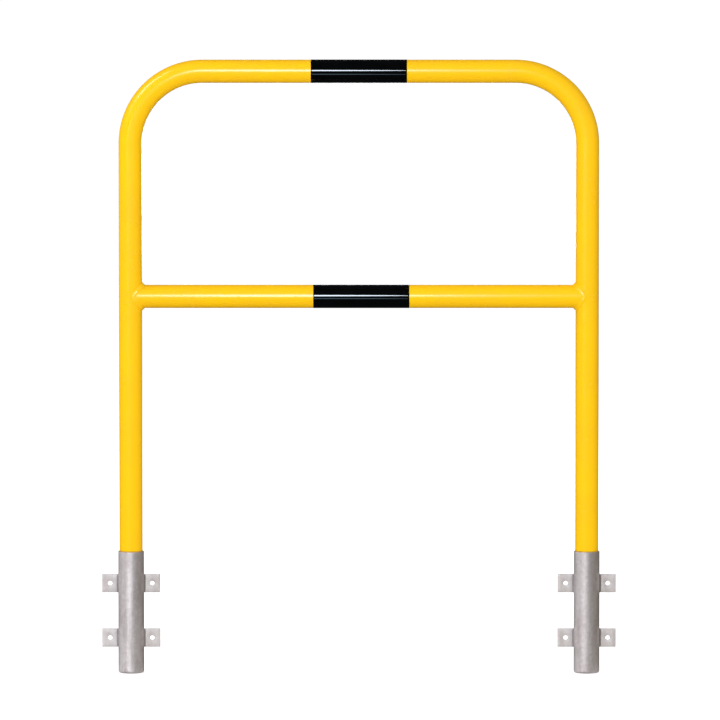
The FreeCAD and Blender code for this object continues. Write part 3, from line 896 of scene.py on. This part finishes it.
class HOOPBARRIER_OT_tabs(bpy.types.Operator):
    """Cut the eight anchor tabs from flat bar and drill them"""
    bl_idname = "hoop_barrier.tabs"
    bl_label = "Anchor tabs"

    def make_tab(self, side, name, node):
        """One tab, as a plate bridged to its hole, extruded and rounded."""
        sizes = settings().sockets
        low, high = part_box(node)
        axis = socket_axis(side)
        middle = (low + high) / 2
        outward = 1.0 if middle.x > axis else -1.0
        flat = Matrix.Rotation(pi / 2, 4, "X")
        plate_size = Matrix.Diagonal((high.x - low.x, high.z - low.z, 1.0, 1.0))
        plate_place = Matrix.Translation((middle.x, low.y, middle.z))
        hole_place = Matrix.Translation((axis + outward * sizes.hole_reach, low.y, middle.z))
        bm = bmesh.new()
        bmesh.ops.transform(bm, verts=unit_sheet(bm, 1, 1), matrix=plate_place @ flat @ plate_size)
        outline = bm.edges[:]
        bmesh.ops.delete(bm, geom=bm.faces[:], context="FACES_ONLY")
        bmesh.ops.subdivide_edges(bm, edges=outline, cuts=HOLE_SIDES // 4 - 1)
        outline = bm.edges[:]
        hole = open_round(bm, sizes.hole_diameter / 2, HOLE_SIDES, hole_place @ flat)
        faces = bmesh.ops.bridge_loops(bm, edges=outline + ring_of(hole))["faces"]
        raised = verts_in(bmesh.ops.extrude_face_region(bm, geom=faces)["geom"])
        bmesh.ops.translate(bm, verts=raised, vec=(0.0, high.y - low.y, 0.0))
        close_up(bm)
        edges = [e for e in bm.edges if e.calc_face_angle(0.0) > radians(ROUNDED_FROM)]
        bmesh.ops.bevel(bm, geom=edges, offset=sizes.tab_edge, offset_type="OFFSET", segments=EDGE_STEPS,
                        profile=0.5, affect="EDGES", material=-1, clamp_overlap=True)
        place_piece(bm, name, SOCKETS, [node], [zinc_tab_finish()], sharp=TAB_SHARP)

    def execute(self, context):
        for side, level, flank, node in each_tab():
            self.make_tab(side, f"tab_{side}_{level}_{flank}", node)
        return {"FINISHED"}


class HOOPBARRIER_OT_tab_seams(bpy.types.Operator):
    """Lay a rippled weld seam in front of and behind each anchor tab"""
    bl_idname = "hoop_barrier.tab_seams"
    bl_label = "Tab seams"

    def seam_point(self, along, across, half_height, start):
        """A point of the seam, from the socket's axis, the tab's middle plane and the tab's middle height."""
        sizes = settings().seams
        radius = settings().sockets.diameter / 2
        half = half_height - sizes.tab_setback
        level = along * half
        past = max(0.0, abs(level) - (half - TAB_SEAM_END)) / TAB_SEAM_END
        size = sqrt(max(0.0, 1.0 - past * past))
        corner = Vector((sqrt(radius * radius - HALF_TAB * HALF_TAB), HALF_TAB))
        toe_turn = asin((HALF_TAB + sizes.tab_leg) / radius)
        tube_toe = Vector((cos(toe_turn), sin(toe_turn))) * (radius - sizes.sink)
        tab_toe = Vector((radius + sizes.tab_leg, HALF_TAB - sizes.sink))
        outward = Vector((tube_toe.y - tab_toe.y, tab_toe.x - tube_toe.x)).normalized()
        point = seam_section(across, tube_toe, tab_toe, corner, outward, TAB_SEAM_ROOT, sizes.tab_crown,
                             level + start)
        point = corner + (point - corner) * size
        return Vector((point.x, point.y, level))

    def make_seams(self, side, name, tab):
        """The two seams of one tab."""
        low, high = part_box(tab)
        axis = socket_axis(side)
        outward = 1.0 if low.x > axis else -1.0
        middle, half_height = (low.z + high.z) / 2, (high.z - low.z) / 2
        bm = bmesh.new()
        for back in (-1.0, 1.0):
            start = low.x + low.z + TAB_SEAM_SHIFT * back
            for vert in unit_sheet(bm, TAB_SEAM_STEPS, TAB_SEAM_STRIPS):
                point = self.seam_point(2.0 * vert.co.x, vert.co.y + 0.5, half_height, start)
                vert.co = (axis + outward * point.x, back * point.y, middle + point.z)
        close_up(bm)
        place_piece(bm, name, SOCKETS, [tab + "_weld"], [zinc_seam_finish()], sharp=SEAM_SHARP)

    def execute(self, context):
        for side, level, flank, tab in each_tab():
            self.make_seams(side, f"tab_seam_{side}_{level}_{flank}", tab)
        return {"FINISHED"}


# Stage

WHITE = (1.0, 1.0, 1.0)
COOL = (0.78, 0.88, 1.0)
BLUE = (0.52, 0.80, 1.0)
WARM = (1.0, 0.86, 0.52)

# Points that the lights are turned to
HOOP_MIDDLE = (0.0, 0.0, 0.4)
HOOP_UPPER = (0.0, 0.0, 0.5)
LEFT_BEND = (-0.43, 0.0, 0.95)
SOCKET_MIDDLE = (0.0, 0.0, -0.1)

# Floor: its drop under the feet, its tone in other light paths, its own glow for the camera
FLOOR_DROP = 0.0002
FLOOR_MIRRORED = (0.02, 0.02, 0.02, 1.0)
FLOOR_BOUNCED = (0.45, 0.45, 0.45, 1.0)
FLOOR_SHADE = 0.97
FLOOR_GLOW = 0.55
MIRRORED_FILL = 0.03

# Strips in front of the rails, cards on the floor, and the camera's sensor and far end
STRIP_BACK = -2.0
CARD_RISE = 0.0005
CARD_WIDTH = 1.3
SENSOR = 36.0
VIEW_END = 500.0


def aim(thing, target):
    """Turns a light or camera towards a point."""
    thing.rotation_euler = (Vector(target) - thing.location).to_track_quat("-Z", "Y").to_euler()


def turn_along(light, target, along):
    """Turns a light towards a point, with its long side along a direction."""
    away = (light.location - Vector(target)).normalized()
    across = Vector(along).cross(away).normalized()
    light.rotation_euler = Matrix((across, away.cross(across), away)).transposed().to_euler()


def pieces_named(label, *starts):
    """A collection of the pieces whose names start alike, for lights that shine on them alone."""
    group = bpy.data.collections.new(label)
    for piece in bpy.context.scene.collection.objects:
        if piece.name.startswith(starts):
            group.objects.link(piece)
    return group


def add_light(name, place, target, wide, high, brightness,
              mirrored=True, matt=True, only=None, tint=WHITE, oval=False):
    """A rectangular or oval soft light of a given brightness, mirrored in gloss, shining on matt, or both."""
    lamp = bpy.data.lights.new(name, "AREA")
    lamp.shape = "ELLIPSE" if oval else "RECTANGLE"
    lamp.size, lamp.size_y = wide, high
    lamp.energy = brightness * pi * wide * high * (pi / 4 if oval else 1.0)
    lamp.color = tint
    light = bpy.data.objects.new(name, lamp)
    light.location = place
    bpy.context.scene.collection.objects.link(light)
    aim(light, target)
    light.visible_camera = False
    light.visible_glossy = mirrored
    light.visible_diffuse = matt
    if only:
        light.light_linking.receiver_collection = only
    return light


class HOOPBARRIER_OT_stage(bpy.types.Operator):
    """Set the pale floor, the soft lights and the camera"""
    bl_idname = "hoop_barrier.stage"
    bl_label = "Stage"

    def add_floor(self):
        """A pale floor under the sockets' feet, which the gloss doesn't mirror."""
        bm = bmesh.new()
        bmesh.ops.create_grid(bm, x_segments=8, y_segments=8, size=settings().stage.floor_size / 2,
                              matrix=Matrix.Translation((0.0, 0.0, CAD_BOX[0].z - FLOOR_DROP)))
        mesh = bpy.data.meshes.new("studio_floor")
        bm.to_mesh(mesh)
        bm.free()
        floor = bpy.data.objects.new("studio_floor", mesh)
        bpy.context.scene.collection.objects.link(floor)
        material, tree, shader = new_finish("Studio floor")
        pale = tuple(settings().finishes.floor)
        drift = use_group(tree, tone_drift_group(), first=pale, second=darker(pale, FLOOR_SHADE), scale=1.5)
        path = tree.nodes.new("ShaderNodeLightPath")
        seen = path.outputs["Is Camera Ray"]
        unseen = mix_colour(tree, path.outputs["Is Diffuse Ray"], FLOOR_MIRRORED, FLOOR_BOUNCED)
        tree.links.new(mix_colour(tree, seen, unseen, drift.outputs["Tone"]), shader.inputs["Base Color"])
        shader.inputs["Roughness"].default_value = 0.9
        shader.inputs["Specular IOR Level"].default_value = 0.0
        shader.inputs["Emission Color"].default_value = (1.0, 1.0, 1.0, 1.0)
        glow = spread(tree, seen, 0.0, 1.0, to_low=0.0, to_high=FLOOR_GLOW)
        tree.links.new(glow, shader.inputs["Emission Strength"])
        mesh.materials.append(material)

    def add_surroundings(self):
        """White all around, bright for the camera, softer on matt faces and dim in the gloss."""
        world = bpy.data.worlds.new("White studio")
        world.use_nodes = True
        tree = world.node_tree
        shown = tree.nodes["Background"]
        path = tree.nodes.new("ShaderNodeLightPath")
        lit = spread(tree, path.outputs["Is Diffuse Ray"], 0.0, 1.0, MIRRORED_FILL, settings().stage.fill)
        shown.inputs["Color"].default_value = (1.0, 1.0, 1.0, 1.0)
        tree.links.new(reckon(tree, "MAXIMUM", lit, path.outputs["Is Camera Ray"]), shown.inputs["Strength"])
        bpy.context.scene.world = world

    def add_rail_lights(self):
        """The lights of the hoop: a line on each rail and band, a streak on the left bend, and soft light."""
        sizes = settings().stage
        tubes = pieces_named("Hoop pieces", "yellow_", "black_band")
        hoop = pieces_named("Hoop tube", "yellow_hoop")
        knee = pieces_named("Knee tube", "yellow_knee", "yellow_rail")
        top_band = pieces_named("Top band", "black_band_top")
        knee_band = pieces_named("Knee band", "black_band_knee")
        for rail, level, aimed, tube, tube_high, band, band_high in (
                ("top", 1.374, 1.004, hoop, 0.36, top_band, 0.36),
                ("knee", 0.955, 0.534, knee, 0.48, knee_band, 0.42)):
            add_light(f"strip_{rail}", (-0.167, STRIP_BACK, level), (-0.167, 0.0, aimed), 0.55, tube_high,
                      sizes.strip_light, matt=False, only=tube, tint=COOL)
            add_light(f"strip_{rail}_band", (-0.17, STRIP_BACK, level), (-0.17, 0.0, aimed), 0.58, band_high,
                      sizes.band_light, matt=False, only=band, tint=COOL, oval=True)
        add_light("softbox_high", (-0.3, -7.0, 2.31), HOOP_UPPER, 2.0, 1.0, sizes.high_light, mirrored=False)
        add_light("softbox_key", (-2.9, -5.4, 0.4), HOOP_MIDDLE, 2.0, 2.0, sizes.key_light, mirrored=False)
        add_light("softbox_front", (2.6, -5.6, 0.35), HOOP_MIDDLE, 2.0, 1.0, sizes.front_light,
                  mirrored=False, only=tubes)
        add_light("softbox_top", (-3.82, -0.66, 2.95), (-0.1, 0.0, 0.5), 2.0, 2.0, sizes.top_light,
                  mirrored=False)
        add_light("softbox_side", (-5.0, 0.9, 0.4), HOOP_MIDDLE, 3.0, 3.0, sizes.side_light,
                  mirrored=False, only=tubes)
        streak = add_light("softbox_left", (-2.59, -0.78, 3.17), LEFT_BEND, 0.25, 1.75, sizes.left_light,
                           matt=False, only=hoop)
        turn_along(streak, LEFT_BEND, (0.70, 0.066, 0.71))
        add_light("softbox_back", (1.0, 4.2, 3.2), HOOP_MIDDLE, 3.0, 1.5, sizes.back_light, mirrored=False)
        add_light("strip_behind", (0.2, 4.0, 0.45), (0.0, 0.0, 0.75), 1.6, 0.35, sizes.behind_light,
                  matt=False, only=tubes, tint=COOL)

    def add_zinc_lights(self):
        """The lights that shine on sockets and tabs alone, and two faint cards on the floor under them."""
        zinc = pieces_named("Zinc pieces", "left_socket", "right_socket", "tab_")
        level = settings().stage.zinc_light
        for name, place, wide, high, share, look in (
                ("zinc_front", (-2.6, -6.2, 0.3), 5.2, 2.2, 1.0, {}),
                ("zinc_high", (0.0, -7.0, 2.31), 1.2, 0.72, 9.1, {"matt": False, "tint": COOL}),
                ("zinc_side", (-5.0, -0.3, 0.4), 5.2, 3.0, 0.39, {}),
                ("zinc_warm", (4.4, -4.2, 0.35), 2.0, 1.0, 3.1, {"mirrored": False, "tint": WARM}),
                ("zinc_behind", (-3.2, 5.5, 0.6), 3.0, 2.4, 0.22, {}),
                ("zinc_back", (0.3, 6.0, 0.0), 2.4, 2.4, 0.6, {})):
            add_light(name, place, SOCKET_MIDDLE, wide, high, share * level, only=zinc, **look)
        for name, front, back, share in (
                ("floor_card", -0.30, -0.024, 0.045),
                ("foot_card", -0.06, 0.03, 0.075)):
            place = (0.0, (front + back) / 2, CAD_BOX[0].z + CARD_RISE)
            card = add_light(name, place, HOOP_MIDDLE, CARD_WIDTH, back - front, share * level, only=zinc)
            card.rotation_euler = (pi, 0.0, 0.0)

    def add_band_light(self):
        """A low strip that the bands mirror in their lower half."""
        bands = pieces_named("Bands", "black_band")
        add_light("low_strip", (-0.2, -2.3, -0.2), (-0.2, 0.0, 0.77), 0.64, 0.50, settings().stage.low_light,
                  only=bands, tint=BLUE, oval=True)

    def add_camera(self):
        """A far camera with a long lens, at the height and tilt of the front view."""
        sizes = settings().stage
        eye = bpy.data.cameras.new("front_camera")
        eye.lens = sizes.lens
        eye.sensor_width = SENSOR
        eye.clip_end = VIEW_END
        camera = bpy.data.objects.new("front_camera", eye)
        camera.location = (sizes.camera_aside, -sizes.camera_distance * cos(sizes.camera_tilt),
                           sizes.aim_height + sizes.camera_distance * sin(sizes.camera_tilt))
        camera.rotation_euler = (pi / 2 - sizes.camera_tilt, 0.0, 0.0)
        bpy.context.scene.collection.objects.link(camera)
        bpy.context.scene.camera = camera

    def execute(self, context):
        self.add_floor()
        self.add_surroundings()
        self.add_rail_lights()
        self.add_zinc_lights()
        self.add_band_light()
        self.add_camera()
        view = context.scene.view_settings
        view.view_transform = "Standard"
        view.look = "None"
        return {"FINISHED"}


PIECE_OPERATORS = (
    HOOPBARRIER_OT_hoop_tube,
    HOOPBARRIER_OT_knee_rail,
    HOOPBARRIER_OT_rail_seams,
    HOOPBARRIER_OT_bands,
    HOOPBARRIER_OT_sockets,
    HOOPBARRIER_OT_tabs,
    HOOPBARRIER_OT_tab_seams,
    HOOPBARRIER_OT_stage,
)


class HOOPBARRIER_PT_panel(bpy.types.Panel):
    """Sizes, colours and steps of the hoop barrier"""
    bl_idname = "HOOPBARRIER_PT_panel"
    bl_label = "Hoop barrier"
    bl_space_type = "VIEW_3D"
    bl_region_type = "UI"
    bl_category = "Hoop barrier"

    def draw(self, context):
        chosen = context.scene.hoop_barrier
        for group in (chosen.hoop, chosen.seams, chosen.bands, chosen.sockets, chosen.finishes, chosen.stage):
            box = self.layout.box()
            for name in group.__annotations__:
                box.prop(group, name)
        for operator in PIECE_OPERATORS:
            self.layout.operator(operator.bl_idname)


CLASSES = (
    HoopSizes, SeamSizes, BandSizes, SocketSizes, Finishes, StageSizes, HoopBarrier,
    *PIECE_OPERATORS,
    HOOPBARRIER_PT_panel,
)


def register():
    for cls in CLASSES:
        bpy.utils.register_class(cls)
    bpy.types.Scene.hoop_barrier = PointerProperty(type=HoopBarrier)


def unregister():
    del bpy.types.Scene.hoop_barrier
    for cls in reversed(CLASSES):
        bpy.utils.unregister_class(cls)


def main():
    register()
    bpy.ops.hoop_barrier.hoop_tube()
    bpy.ops.hoop_barrier.knee_rail()
    bpy.ops.hoop_barrier.rail_seams()
    bpy.ops.hoop_barrier.bands()
    bpy.ops.hoop_barrier.sockets()
    bpy.ops.hoop_barrier.tabs()
    bpy.ops.hoop_barrier.tab_seams()
    bpy.ops.hoop_barrier.stage()


if __name__ == "__main__":
    main()
